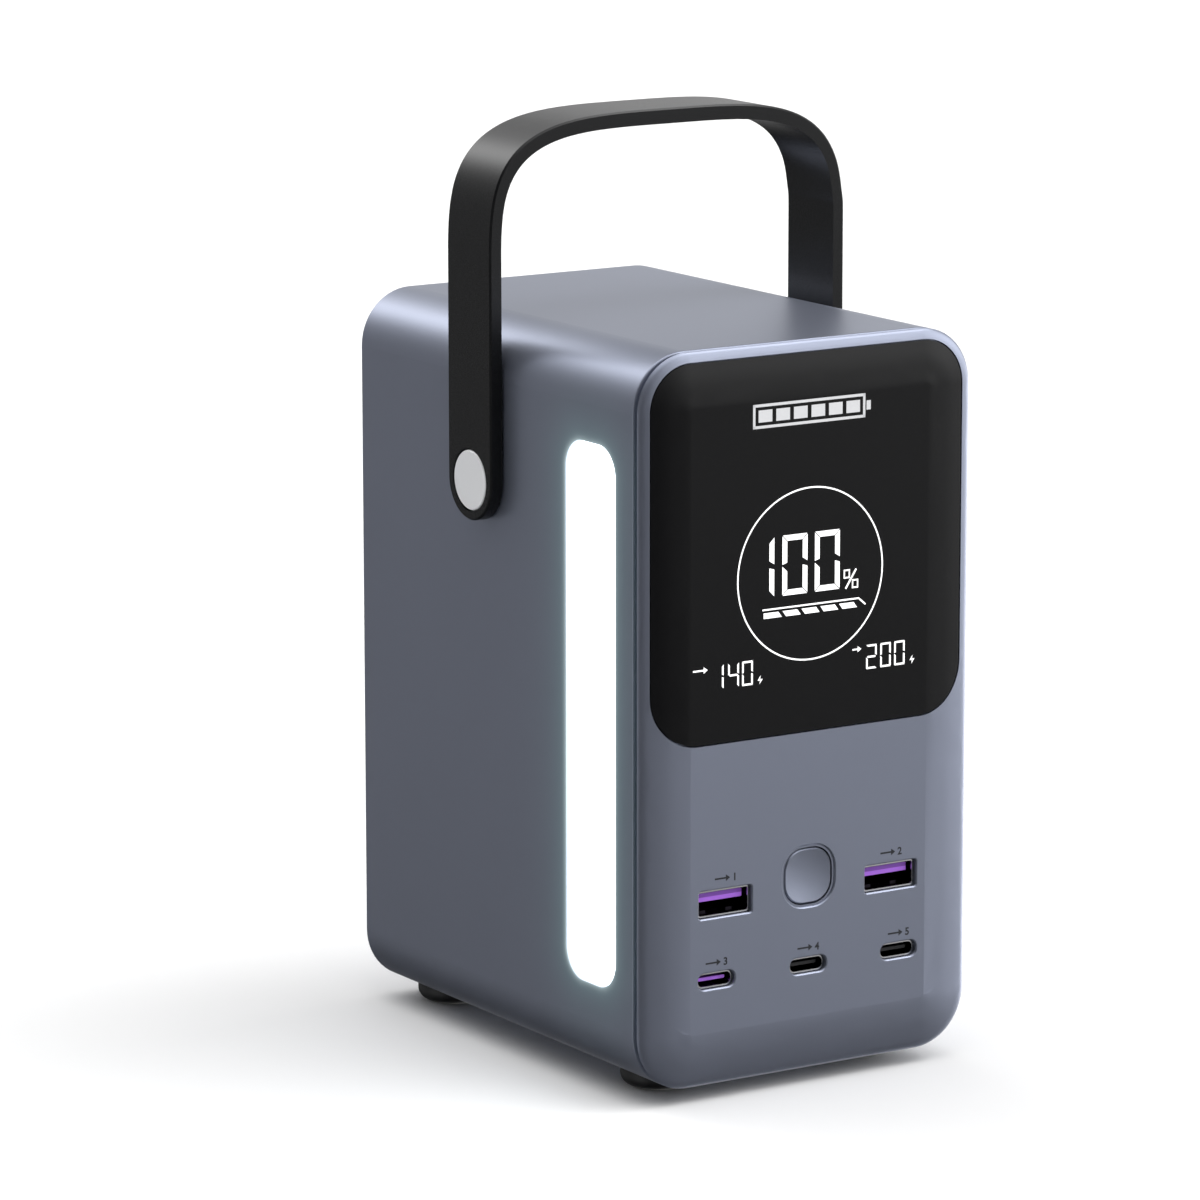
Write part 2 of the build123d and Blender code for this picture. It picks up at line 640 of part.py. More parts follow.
pieces["usb_a_contacts"] = blocks(
    facing_front(PORT_MOUTH + TONGUE_A_IN + 1.0),
    [(x + dx, z + TONGUE_DZ - TONGUE_A[1] / 2 - 0.1) for x, z in USB_A_PLACES
     for dx in (-3.5, -1.0, 1.0, 3.5)], 1.0, 0.2, -8.0
)

# ---- USB-C sockets ---------------------------------------------------------------------------
with BuildPart() as usb_c_shells:
    with BuildSketch(facing_front(PORT_BOARD_Y)):
        with Locations(*USB_C_PLACES):
            RectangleRounded(USB_C_W, USB_C_H, 1.45)
    extrude(amount=SHELL_L)
    with BuildSketch(facing_front(PORT_MOUTH)):
        with Locations(*USB_C_PLACES):
            RectangleRounded(USB_C_W - 2 * SHELL_T, USB_C_H - 2 * SHELL_T, 1.15)
    extrude(amount=-(SHELL_L - 1), mode=Mode.SUBTRACT)
pieces["usb_c_shells"] = usb_c_shells
for name, places in (("usb_c_tongue_in_out", USB_C_PLACES[:1]), ("usb_c_tongues", USB_C_PLACES[1:])):
    pieces[name] = blocks(
        facing_front(PORT_MOUTH + TONGUE_C_IN), places, TONGUE_C[0], TONGUE_C[1],
        -(SHELL_L - 1 - TONGUE_C_IN), 0.2
    )

# ---- Port board ------------------------------------------------------------------------------
with BuildPart() as port_board:
    with BuildSketch(facing_front(PORT_BOARD_Y)):
        with Locations((0, 36.25)):
            RectangleRounded(61, 44.5, 1.5)
        with Locations(*PORT_BOSSES):
            Circle(1.4, mode=Mode.SUBTRACT)
    extrude(amount=-BOARD_T)
pieces["port_board"] = port_board
pieces["port_board_screws"] = screws(
    facing_rear(PORT_BOARD_Y + BOARD_T), PORT_BOSSES,
    head_r=2.2, head_h=1.4, shank_r=1.0, shank_l=8.0
)
pieces["board_link"] = blocks(
    facing_rear(PORT_BOARD_Y + BOARD_T), [(-2, 20)], 22, 6, MAIN_Y - PORT_BOARD_Y - BOARD_T
)

# ---- Main power board ------------------------------------------------------------------------
with BuildPart() as main_board:
    with BuildSketch(facing_front(MAIN_Y)):
        with Locations((0, (MAIN_BOTTOM + MAIN_TOP) / 2)):
            RectangleRounded(64, MAIN_TOP - MAIN_BOTTOM, 1.5)
        with Locations(*STANDOFFS):
            Circle(1.7, mode=Mode.SUBTRACT)
    extrude(amount=-BOARD_T)
pieces["main_board"] = main_board
with BuildPart() as standoffs:
    with BuildSketch(facing_front(MAIN_Y + BOARD_T)):
        with Locations(*STANDOFFS):
            RegularPolygon(2.9, 6)
            Circle(1.5, mode=Mode.SUBTRACT)
    extrude(amount=-(PACK_FRONT - MAIN_Y - BOARD_T))
pieces["main_board_standoffs"] = standoffs
pieces["main_board_screws"] = screws(
    facing_front(MAIN_Y), STANDOFFS, head_r=2.6, head_h=1.6, shank_r=1.5, shank_l=6.0
)
with BuildPart() as inductors:
    with BuildSketch(facing_front(MAIN_Y)):
        with Locations(*[(-12, 34), (-12, 48), (-12, 62)]):
            RectangleRounded(11.5, 11.5, 1.5)
    extrude(amount=7.0)
    chamfer(inductors.faces().filter_by(Axis.Y).group_by(Axis.Y)[0].edges(), 0.8)
pieces["inductors"] = inductors
with BuildPart() as capacitors:
    with BuildSketch(facing_front(MAIN_Y)):
        with Locations(*[(x, 76) for x in (-12, -2, 8, 18)]):
            Circle(4.0)
    extrude(amount=12.0)
    fillet(capacitors.faces().filter_by(Axis.Y).group_by(Axis.Y)[0].edges(), 0.6)
pieces["capacitors"] = capacitors
TRANSISTORS = [(x, z) for x in (7, 21) for z in (36, 46, 56)]
pieces["power_transistors"] = blocks(facing_front(MAIN_Y), TRANSISTORS, 5, 6, 1.0)
pieces["thermal_pad"] = blocks(facing_front(MAIN_Y - 1.0), [(14, 46)], 26, 32, 0.5)
with BuildPart() as heat_sink:
    with BuildSketch(facing_front(MAIN_Y - 1.5)):
        with Locations((14, 46)):
            Rectangle(30, 36)
    extrude(amount=2.0)
    with BuildSketch(facing_front(MAIN_Y - 3.5)):
        with Locations((14, 46)):
            with GridLocations(4, 0, 8, 1):
                Rectangle(1.0, 36)
    extrude(amount=8.0)
pieces["heat_sink"] = heat_sink

# ---- Battery pack ----------------------------------------------------------------------------
with BuildPart() as cells:
    for bottom in (CELL_BOTTOM, LAYER_2):
        with BuildSketch(level(bottom)):
            with Locations(*CELL_PLACES):
                Circle(CELL_R)
        extrude(amount=CELL_L)
pieces["battery_cells"] = cells
HOLDER_LEVELS = (CELL_BOTTOM, LAYER_2 - BUS_T - HOLDER_H, LAYER_2, PACK_TOP - HOLDER_H)
with BuildPart() as holders:
    for bottom in HOLDER_LEVELS:
        with BuildSketch(level(bottom)):
            with Locations((0, PACK_Y)):
                RectangleRounded(HOLDER_W, HOLDER_W, 2)
            with Locations(*CELL_PLACES):
                Circle(CELL_R + 0.1, mode=Mode.SUBTRACT)
            with Locations(*ROD_PLACES):
                Circle(1.6, mode=Mode.SUBTRACT)
        extrude(amount=HOLDER_H)
pieces["cell_holders"] = holders
with BuildPart() as tie_rods:
    for bottom, radius, length in (
        (CELL_BOTTOM, 1.5, PACK_TOP - CELL_BOTTOM),
        (CELL_BOTTOM - 0.9, 2.6, 0.9),
        (PACK_TOP, 2.6, 1.0),
    ):
        with BuildSketch(level(bottom)):
            with Locations(*ROD_PLACES):
                Circle(radius)
        extrude(amount=length)
pieces["pack_tie_rods"] = tie_rods
front_row = PACK_Y - CELL_PITCH / 2
rear_row = PACK_Y + CELL_PITCH / 2
with BuildPart() as bus_bars:
    with BuildSketch(level(CELL_BOTTOM - BUS_T)):
        with Locations((0, front_row), (0, rear_row)):
            RectangleRounded(44, 12, 2)
    extrude(amount=BUS_T)
    with BuildSketch(level(LAYER_2 - BUS_T)):
        with Locations(*CELL_PLACES):
            RectangleRounded(14, 14, 2)
        with Locations((-30, PACK_Y), (-26, PACK_Y + 6)):
            Rectangle(8, 4)
    extrude(amount=BUS_T)
    with BuildSketch(level(PACK_TOP)):
        with Locations((0, front_row)):
            RectangleRounded(44, 12, 2)
        with Locations((-CELL_PITCH / 2, rear_row), (CELL_PITCH / 2, rear_row)):
            RectangleRounded(14, 14, 2)
    extrude(amount=BUS_T)
pieces["bus_bars"] = bus_bars
with BuildPart() as insulation:
    for bottom in (CELL_BOTTOM - BUS_T - 0.4, PACK_TOP + BUS_T):
        with BuildSketch(level(bottom)):
            with Locations((0, PACK_Y)):
                RectangleRounded(50, 50, 2)
        extrude(amount=0.4)
pieces["insulation_sheets"] = insulation
with BuildPart() as bms_board:
    with BuildSketch(level(BMS_Z)):
        with Locations((0, PACK_Y)):
            RectangleRounded(55, 54, 1.5)
    extrude(amount=BOARD_T)
pieces["bms_board"] = bms_board
pieces["bms_tape"] = blocks(
    level(PACK_TOP + BUS_T + 0.4), [(0, PACK_Y)], 40, 40, BMS_Z - PACK_TOP - BUS_T - 0.4
)
pieces["bms_transistors"] = blocks(level(BMS_TOP), [(x, 30) for x in (-18, -9, 0, 9)], 6, 9, 2.2)
with BuildPart() as fuse:
    with BuildSketch(facing_front(26)):
        with Locations((20, BMS_TOP + 2.6)):
            Circle(2.5)
    extrude(amount=14)
pieces["fuse"] = fuse
with BuildPart() as sensor:
    with BuildSketch(level(113)):
        with Locations((CELL_PITCH / 2, -15.3)):
            Circle(1.3)
    extrude(amount=5)
pieces["temperature_sensor"] = sensor

# ---- Leads -----------------------------------------------------------------------------------
WIRE_R = 1.4
wire_z = BMS_TOP + WIRE_R + 0.1
run_y = (PACK_FRONT + MAIN_Y + BOARD_T) / 2
for name, x in (("battery_lead_positive", 5.0), ("battery_lead_negative", -5.0)):
    pieces[name] = lead([(x, 0, wire_z), (x, run_y, wire_z), (x, run_y, 80)], 7.0, WIRE_R)
pieces["sensor_lead"] = lead(
    [(16.5, -15.3, 118), (16.5, -15.3, BMS_TOP + 0.8), (16.5, -6, BMS_TOP + 0.8)], 3.5, 0.6
)
pieces["balance_lead"] = lead(
    [(-25, PACK_Y, BMS_TOP + 1.1), (-36.8, PACK_Y, BMS_TOP + 1.1), (-36.8, PACK_Y, 82)], 5.0, 1.0
)
pieces["light_lead"] = lead(
    [(-INNER_X + 1.2 + TRAY_DEEP + 1.2, LIGHT_Y, 70), (-25, LIGHT_Y, 70), (-25, MAIN_Y, 70)], 4.0, 0.9
)
pieces["battery_connector"] = blocks(
    facing_rear(MAIN_Y + BOARD_T), [(0, 73)], 18, 14, PACK_FRONT - MAIN_Y - BOARD_T - 1
)

# ---- Tray and foam ---------------------------------------------------------------------------
with BuildPart() as tray:
    with BuildSketch(level(FLOOR_Z)):
        with Locations((0, 8)):
            RectangleRounded(58, 86, 3)
        with Locations(*TRAY_SCREWS):
            Circle(1.2, mode=Mode.SUBTRACT)
    extrude(amount=TRAY_T)
pieces["chassis_tray"] = tray
pieces["chassis_screws"] = screws(
    level(FLOOR_Z + TRAY_T), TRAY_SCREWS, head_r=2.0, head_h=1.2, shank_r=1.0, shank_l=2.9
)
with BuildPart() as foam_pads:
    with BuildSketch(level(FLOOR_Z + TRAY_T)):
        with Locations((0, PACK_Y - 29.5), (0, PACK_Y + 29.5)):
            Rectangle(10, 6)
        with Locations((-28.5, PACK_Y), (28.5, PACK_Y)):
            Rectangle(6, 8)
    extrude(amount=CELL_BOTTOM - FLOOR_Z - TRAY_T)
    with BuildSketch(facing_rear(PACK_Y + HOLDER_W / 2)):
        with Locations((0, 77), (0, 147)):
            Rectangle(40, 5)
    extrude(amount=COVER_INSIDE - PACK_Y - HOLDER_W / 2)
pieces["foam_pads"] = foam_pads

# ---- Light strip -----------------------------------------------------------------------------
FLANGE_X = -INNER_X
with BuildPart() as diffuser:
    with BuildSketch(facing_right(FLANGE_X)):
        with Locations((LIGHT_Y, LIGHT_Z)):
            RectangleRounded(LIGHT_W - 2 * LIGHT_GAP, LIGHT_H - 2 * LIGHT_GAP, LIGHT_R - LIGHT_GAP)
    extrude(amount=-(WALL - LIGHT_SET_BACK))
    with BuildSketch(facing_right(FLANGE_X)):
        with Locations((LIGHT_Y, LIGHT_Z)):
            RectangleRounded(LIGHT_W + 2 * LIGHT_FLANGE, LIGHT_H + 2 * LIGHT_FLANGE, LIGHT_R + LIGHT_FLANGE)
    extrude(amount=1.2)
pieces["light_diffuser"] = diffuser
with BuildPart() as light_tray:
    with BuildSketch(facing_right(FLANGE_X + 1.2)):
        with Locations((LIGHT_Y, LIGHT_Z)):
            RectangleRounded(LIGHT_W + 2 * LIGHT_FLANGE, LIGHT_H + 2 * LIGHT_FLANGE, LIGHT_R + LIGHT_FLANGE)
    extrude(amount=TRAY_DEEP + 1.2)
    with BuildSketch(facing_right(FLANGE_X + 1.2)):
        with Locations((LIGHT_Y, LIGHT_Z)):
            RectangleRounded(LIGHT_W + 0.4, LIGHT_H + 0.4, LIGHT_R + 0.2)
    extrude(amount=TRAY_DEEP, mode=Mode.SUBTRACT)
pieces["light_tray"] = light_tray
BOARD_X = FLANGE_X + 1.2 + TRAY_DEEP
pieces["light_board"] = blocks(facing_right(BOARD_X), [(LIGHT_Y, LIGHT_Z)], 8, 100, -1.0)
LEDS = [(LIGHT_Y, LIGHT_Z + 9.4 * (i - 5)) for i in range(11)]
pieces["light_leds"] = blocks(facing_right(BOARD_X - 1.0), LEDS, 3.5, 2.8, -0.8)

# ---- Write every piece -----------------------------------------------------------------------
os.makedirs("parts", exist_ok=True)
for name, piece in pieces.items():
    piece.part.label = name
    export_step(piece.part, f"parts/{name}.step")
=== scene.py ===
import json
import math

import bmesh
import bpy
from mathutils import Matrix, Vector


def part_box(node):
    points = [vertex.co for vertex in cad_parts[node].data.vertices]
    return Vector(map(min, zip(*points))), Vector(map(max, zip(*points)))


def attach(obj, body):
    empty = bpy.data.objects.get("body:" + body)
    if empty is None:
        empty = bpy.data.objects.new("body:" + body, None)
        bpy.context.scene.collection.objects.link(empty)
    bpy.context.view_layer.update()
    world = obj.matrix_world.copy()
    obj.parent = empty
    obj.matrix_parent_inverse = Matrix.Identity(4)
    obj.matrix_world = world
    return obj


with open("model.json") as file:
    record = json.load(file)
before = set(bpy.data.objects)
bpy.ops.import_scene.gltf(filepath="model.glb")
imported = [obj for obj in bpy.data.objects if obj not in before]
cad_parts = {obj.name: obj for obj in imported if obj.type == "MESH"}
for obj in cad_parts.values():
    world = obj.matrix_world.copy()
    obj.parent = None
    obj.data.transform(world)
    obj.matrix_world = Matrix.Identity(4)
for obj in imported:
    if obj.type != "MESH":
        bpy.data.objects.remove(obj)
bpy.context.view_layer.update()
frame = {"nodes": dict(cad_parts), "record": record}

NODES = frame["nodes"]
MM = 0.001

# surfaces: height of the grain and of a metal's polish, how slowly a tone changes, and how far a
# metal's gloss varies
GRAIN_HEIGHT = 0.02 * MM
POLISH_HEIGHT = 0.01 * MM
TONE_SCALE = 38.0
METAL_ROUGH_VARY = 0.06

# slate paint of the case: colour, gloss, and how much of it reads as metal
SLATE = (0.254, 0.277, 0.352)
PAINT = {"vary": 0.02, "metallic": 0.75, "rough_vary": 0.03}
PAINT_ROUGH = 0.36

# light strip: flange hidden behind the wall, corner radius of the slot, and the X that parts the
# left wall from the rest of the shell
STRIP_FLANGE = 1.4 * MM
STRIP_CORNER = 6.5 * MM
LEFT_WALL_X = -40.5 * MM
# glow round the strip: reach in mm, strength and colour
STRIP_GLOWS = [
    (0.5, 0.36, (0.86, 0.99, 1.0)),
    (4.5, 0.075, (0.45, 1.0, 0.95)),
]


# ---- node helpers ----------------------------------------------------------------------------
class Tree:
    """The node tree of a material or a world, with short calls for the nodes used here."""

    def __init__(self, owner, coords):
        owner.use_nodes = True
        self.nodes = owner.node_tree.nodes
        self.links = owner.node_tree.links
        self.coords = self.nodes.new("ShaderNodeTexCoord").outputs[coords]

    def link(self, source, target):
        self.links.new(source, target)

    def noise(self, scale, detail=2.0, rough=0.5, stretch=None):
        """Noise of that many grains per metre, stretched along an axis where asked."""
        node = self.nodes.new("ShaderNodeTexNoise")
        node.inputs["Scale"].default_value = scale
        node.inputs["Detail"].default_value = detail
        node.inputs["Roughness"].default_value = rough
        source = self.coords
        if stretch:
            mapping = self.nodes.new("ShaderNodeMapping")
            mapping.inputs["Scale"].default_value = stretch
            self.link(source, mapping.inputs["Vector"])
            source = mapping.outputs["Vector"]
        self.link(source, node.inputs["Vector"])
        return node.outputs["Fac"]

    def span(self, value, low, high, in_low=0.3, in_high=0.7):
        """Value taken from one range to another, and held at its ends."""
        node = self.nodes.new("ShaderNodeMapRange")
        node.inputs["From Min"].default_value = in_low
        node.inputs["From Max"].default_value = in_high
        node.inputs["To Min"].default_value = low
        node.inputs["To Max"].default_value = high
        self.link(value, node.inputs["Value"])
        return node.outputs["Result"]

    def math(self, kind, a, b=None, c=None):
        """Math node, whose inputs are numbers or sockets."""
        node = self.nodes.new("ShaderNodeMath")
        node.operation = kind
        for i, value in enumerate((a, b, c)):
            if value is None:
                continue
            if isinstance(value, (int, float)):
                node.inputs[i].default_value = value
            else:
                self.link(value, node.inputs[i])
        return node.outputs[0]

    def mix(self, fac, dark, light):
        """Colour between two colours."""
        node = self.nodes.new("ShaderNodeMix")
        node.data_type = "RGBA"
        node.inputs["A"].default_value = (*dark, 1)
        node.inputs["B"].default_value = (*light, 1)
        self.link(fac, node.inputs["Factor"])
        return node.outputs["Result"]

    def place(self):
        """The coordinates, split into X, Y and Z."""
        node = self.nodes.new("ShaderNodeSeparateXYZ")
        self.link(self.coords, node.inputs[0])
        return node.outputs

    def bump(self, height, strength, distance):
        node = self.nodes.new("ShaderNodeBump")
        node.inputs["Strength"].default_value = strength
        node.inputs["Distance"].default_value = distance
        self.link(height, node.inputs["Height"])
        return node.outputs["Normal"]


class Look(Tree):
    """A new material with its shader."""

    def __init__(self, name):
        self.material = bpy.data.materials.new(name)
        super().__init__(self.material, "Object")
        self.shader = self.nodes["Principled BSDF"]


def tint(color, factor):
    """Colour made darker or lighter."""
    return tuple(min(1.0, c * factor) for c in color)


def moulded(name, color, rough, grain_mm=0.12, relief=0.12, vary=0.06, metallic=0.0, specular=0.5,
            rough_vary=0.04):
    """Moulded or painted surface: a fine grain in relief and gloss, and a slow change of tone."""
    look = Look(name)
    inputs = look.shader.inputs
    grain = look.noise(1.0 / (grain_mm * MM), 2.0, 0.6)
    slow = look.noise(TONE_SCALE, 3.0, 0.55)
    look.link(look.mix(slow, tint(color, 1 - vary), tint(color, 1 + vary)), inputs["Base Color"])
    look.link(look.span(grain, rough - rough_vary, rough + rough_vary), inputs["Roughness"])
    look.link(look.bump(grain, relief, GRAIN_HEIGHT), inputs["Normal"])
    inputs["Metallic"].default_value = metallic
    inputs["Specular IOR Level"].default_value = specular
    return look


def metal(name, color, rough, stretch=(1, 1, 1), scale=900.0, relief=0.08):
    """Bare metal with a fine polish, which runs along one axis where it is stretched."""
    look = Look(name)
    inputs = look.shader.inputs
    lines = look.noise(scale, 3.0, 0.6, stretch)
    slow = look.noise(60.0, 2.0, 0.5)
    look.link(look.mix(slow, tint(color, 0.93), tint(color, 1.05)), inputs["Base Color"])
    look.link(look.span(lines, rough - METAL_ROUGH_VARY, rough + METAL_ROUGH_VARY), inputs["Roughness"])
    look.link(look.bump(lines, relief, POLISH_HEIGHT), inputs["Normal"])
    inputs["Metallic"].default_value = 1.0
    return look


def glowing(name, color, strength, base=(0.8, 0.8, 0.8), rough=0.5):
    """Lit surface with a slight unevenness in its glow."""
    look = Look(name)
    inputs = look.shader.inputs
    slow = look.noise(120.0, 2.0, 0.5)
    look.link(look.mix(slow, tint(color, 0.97), color), inputs["Emission Color"])
    look.link(look.mix(slow, tint(base, 0.95), base), inputs["Base Color"])
    inputs["Emission Strength"].default_value = strength
    inputs["Roughness"].default_value = rough
    return look


# ---- materials of the CAD pieces -------------------------------------------------------------
light_low, light_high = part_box("light_diffuser")


def add_light_halo(look):
    """Bluish glow that the strip casts on the shell round its slot, fading within a few millimetres."""
    place = look.place()
    sides = []
    for axis, index in (("Y", 1), ("Z", 2)):
        middle = (light_low[index] + light_high[index]) / 2
        half = (light_high[index] - light_low[index]) / 2 - STRIP_FLANGE - STRIP_CORNER
        away = look.math("ABSOLUTE", look.math("SUBTRACT", place[axis], middle))
        sides.append(look.math("MAXIMUM", look.math("SUBTRACT", away, half), 0.0))
    squares = [look.math("MULTIPLY", side, side) for side in sides]
    away = look.math("SQRT", look.math("ADD", *squares))
    gap = look.math("MAXIMUM", look.math("SUBTRACT", away, STRIP_CORNER), 0.0)
    on_left_wall = look.math("LESS_THAN", place["X"], LEFT_WALL_X)
    total = look.nodes.new("ShaderNodeVectorMath")
    for index, (reach_mm, strength, color) in enumerate(STRIP_GLOWS):
        fade = look.math("EXPONENT", look.math("DIVIDE", gap, -reach_mm * MM))
        glow = look.nodes.new("ShaderNodeVectorMath")
        glow.operation = "SCALE"
        glow.inputs["Vector"].default_value = tint(color, strength)
        look.link(look.math("MULTIPLY", fade, on_left_wall), glow.inputs["Scale"])
        look.link(glow.outputs["Vector"], total.inputs[index])
    look.link(total.outputs["Vector"], look.shader.inputs["Emission Color"])
    look.shader.inputs["Emission Strength"].default_value = 1.0


def paint_shade_band(look, axis, start, reach, dark):
    """Paints shade into a material: its colour turns to a darker one beyond a place along one axis of the
    object.
    """
    inside = look.span(look.place()[axis], 0.0, 1.0, start, start + reach)
    color = look.shader.inputs["Base Color"]
    mix = look.nodes.new("ShaderNodeMix")
    mix.data_type = "RGBA"
    look.link(inside, mix.inputs["Factor"])
    look.link(color.links[0].from_socket, mix.inputs["A"])
    mix.inputs["B"].default_value = (*dark, 1)
    look.link(mix.outputs["Result"], color)


# painted shade in the USB-A sockets: the tongues are darker in their upper half, and the shells darker behind
# their mouths
tongue = moulded("purple_tongue", (0.42, 0.14, 0.80), 0.35, vary=0.05)
tongue_middle = sum(corner[2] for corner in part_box("usb_a_tongues")) / 2
paint_shade_band(tongue, "Z", tongue_middle, 0.05 * MM, (0.20, 0.055, 0.42))
plated = metal("plated_shell", (0.80, 0.80, 0.82), 0.20, (1, 1, 1), 1500.0, 0.05)
shell_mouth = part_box("usb_a_shells")[0][1]
paint_shade_band(plated, "Y", shell_mouth + 0.25 * MM, 0.4 * MM, (0.025, 0.022, 0.030))
shell = moulded("slate_shell", SLATE, PAINT_ROUGH, relief=0.06, **PAINT)
add_light_halo(shell)
MATERIALS = {
    "slate_shell": shell,
    "slate_panel": moulded("slate_panel", SLATE, PAINT_ROUGH, relief=0.05, **PAINT),
    "slate_cover": moulded("slate_cover", tint(SLATE, 0.60), 0.45, relief=0.18, vary=0.02),
    "black_steel": metal("black_steel", (0.05, 0.05, 0.055), 0.35),
    "rubber_feet": moulded("rubber_feet", (0.018, 0.019, 0.021), 0.45, grain_mm=0.2, relief=0.2, vary=0.15),
    "black_strap": moulded("black_strap", (0.006, 0.0062, 0.007), 0.27, grain_mm=0.10, relief=0.08, vary=0.12,
                           specular=0.30),
    "bush_nylon": moulded("bush_nylon", (0.02, 0.02, 0.02), 0.5),
    "satin_disc": moulded("satin_disc", (0.86, 0.87, 0.89), 0.38, relief=0.08, vary=0.03, metallic=0.35),
    "zinc_steel": metal("zinc_steel", (0.50, 0.51, 0.52), 0.35),
    "display_glass": moulded("display_glass", (0.0045, 0.0045, 0.005), 0.19, grain_mm=0.6, relief=0.01,
                             vary=0.1, rough_vary=0.015, specular=0.22),
    "black_tape": moulded("black_tape", (0.01, 0.01, 0.01), 0.7),
    "module_black": moulded("module_black", (0.01, 0.01, 0.01), 0.5),
    "circuit_board": moulded("circuit_board", (0.012, 0.075, 0.03), 0.3, grain_mm=0.8, relief=0.3, vary=0.3),
    "ribbon_film": moulded("ribbon_film", (0.35, 0.16, 0.03), 0.25),
    "button_plastic": moulded("button_plastic", tint(SLATE, 1.10), 0.32, relief=0.04, **PAINT),
    "black_plastic": moulded("black_plastic", (0.012, 0.012, 0.012), 0.45),
    "plated_shell": plated,
    "purple_tongue": tongue,
    "dark_tongue": moulded("dark_tongue", (0.012, 0.012, 0.014), 0.4),
    "gold_contact": metal("gold_contact", (0.80, 0.55, 0.20), 0.25),
    "brass_standoff": metal("brass_standoff", (0.65, 0.47, 0.18), 0.3),
    "ferrite": moulded("ferrite", (0.03, 0.03, 0.033), 0.6),
    "capacitor_can": moulded("capacitor_can", (0.02, 0.022, 0.07), 0.35),
    "thermal_silicone": moulded("thermal_silicone", (0.17, 0.21, 0.35), 0.8),
    "raw_aluminium": metal("raw_aluminium", (0.66, 0.67, 0.68), 0.35, (1, 1, 0.05), 700.0),
    "cell_wrap": moulded("cell_wrap", (0.02, 0.08, 0.35), 0.3),
    "nickel_strip": metal("nickel_strip", (0.62, 0.60, 0.55), 0.3),
    "fibre_sheet": moulded("fibre_sheet", (0.45, 0.34, 0.17), 0.8, grain_mm=0.5, relief=0.4, vary=0.15),
    "fuse_body": moulded("fuse_body", (0.7, 0.68, 0.62), 0.25),
    "sensor_bead": moulded("sensor_bead", (0.01, 0.008, 0.006), 0.35),
    "red_wire": moulded("red_wire", (0.30, 0.004, 0.004), 0.5),
    "black_wire": moulded("black_wire", (0.01, 0.01, 0.01), 0.5),
    "white_wire": moulded("white_wire", (0.55, 0.55, 0.52), 0.5),
    "connector_white": moulded("connector_white", (0.62, 0.62, 0.58), 0.5),
    "foam_pad": moulded("foam_pad", (0.015, 0.015, 0.015), 0.9, grain_mm=0.6, relief=0.8, vary=0.3),
    "light_face": glowing("light_face", (0.90, 0.96, 1.0), 3.2, (0.85, 0.87, 0.9), 0.45),
    "board_white": moulded("board_white", (0.7, 0.7, 0.7), 0.4),
    "led_package": glowing("led_package", (1.0, 0.97, 0.88), 1.0, (0.8, 0.75, 0.4), 0.3),
}
SLOT_OF = {row["node"]: row["material_slot"] for row in frame["record"]["subparts"]}
for node, obj in NODES.items():
    material = MATERIALS[SLOT_OF[node]].material
    if not obj.data.materials:
        obj.data.materials.append(material)
    for place in obj.material_slots:  # the material rides on the object, and its mesh stays as it is
        place.link = "OBJECT"
        place.material = material


# ---- flat printed and lit figures ------------------------------------------------------------
FIGURE_SINK = 0.004 * MM  # depth of a figure's back below the face it stands on


def front_plane(node):
    """Y of the largest face of a node that looks forward."""
    faces = [p for p in NODES[node].data.polygons if p.normal.y < -0.99]
    return max(faces, key=lambda p: p.area).center.y


def flat_piece(name, shapes, y_face, lift_mm, material, body):
    """Thin figures that stand just proud of a face that looks forward. Shapes are loops of (x, z) in mm."""
    mesh = bpy.data.meshes.new(name)
    bm = bmesh.new()
    for loop in shapes:
        outer = [bm.verts.new((x * MM, y_face - lift_mm * MM, z * MM)) for x, z in loop]
        bm.faces.new(outer).normal_update()
        back = [bm.verts.new((x * MM, y_face + FIGURE_SINK, z * MM)) for x, z in loop]
        bm.faces.new(list(reversed(back)))
        for i in range(len(loop)):
            j = (i + 1) % len(loop)
            bm.faces.new((outer[j], outer[i], back[i], back[j]))
    bmesh.ops.recalc_face_normals(bm, faces=bm.faces)
    bmesh.ops.triangulate(bm, faces=[f for f in bm.faces if len(f.verts) > 4])
    bm.to_mesh(mesh)
    bm.free()
    obj = bpy.data.objects.new(name, mesh)
    bpy.context.scene.collection.objects.link(obj)
    mesh.materials.append(material)
    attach(obj, body)
    return obj


def ring_quads(cx, cz, radius, width, count):
    """Thin ring made of four-sided pieces."""
    quads = []
    inner = radius - width
    for i in range(count):
        a, b = 2 * math.pi * i / count, 2 * math.pi * (i + 1) / count
        corners = ((radius, a), (radius, b), (inner, b), (inner, a))
        quads.append([(cx + r * math.cos(t), cz + r * math.sin(t)) for r, t in corners])
    return quads


def segments(x, z, w, h, t, lit, gap=0.1):
    """Seven-segment figure w wide and h high: the lit ones of the mitred bars a to g, each t thick."""
    m = z + h / 2
    g = gap / 2
    s = t / 2
    bars = {
        "a": [(x + g, z + h), (x + w - g, z + h), (x + w - t - g, z + h - t), (x + t + g, z + h - t)],
        "d": [(x + g, z), (x + t + g, z + t), (x + w - t - g, z + t), (x + w - g, z)],
        "g": [(x + s + g, m), (x + t + g, m + s), (x + w - t - g, m + s), (x + w - s - g, m),
              (x + w - t - g, m - s), (x + t + g, m - s)],
    }
    for key, sx, left in (("f", x, True), ("b", x + w, False)):
        inner = sx + t if left else sx - t
        bars[key] = [(sx, z + h - gap), (inner, z + h - t - gap),
                     (inner, m + g + (0.4 * t if left else t)), (sx, m + g + (0.1 * t if left else 0.4 * t))]
    for key, sx, left in (("e", x, True), ("c", x + w, False)):
        inner = sx + t if left else sx - t
        bars[key] = [(sx, z + gap), (inner, z + t + gap),
                     (inner, m - g - (t if left else 0.1 * t)), (sx, m - g - (0.1 * t if left else 0.4 * t))]
    return [bars[key] for key in lit]


DIGITS = {"0": "abcdef", "1": "bc", "2": "abged", "4": "fgbc"}


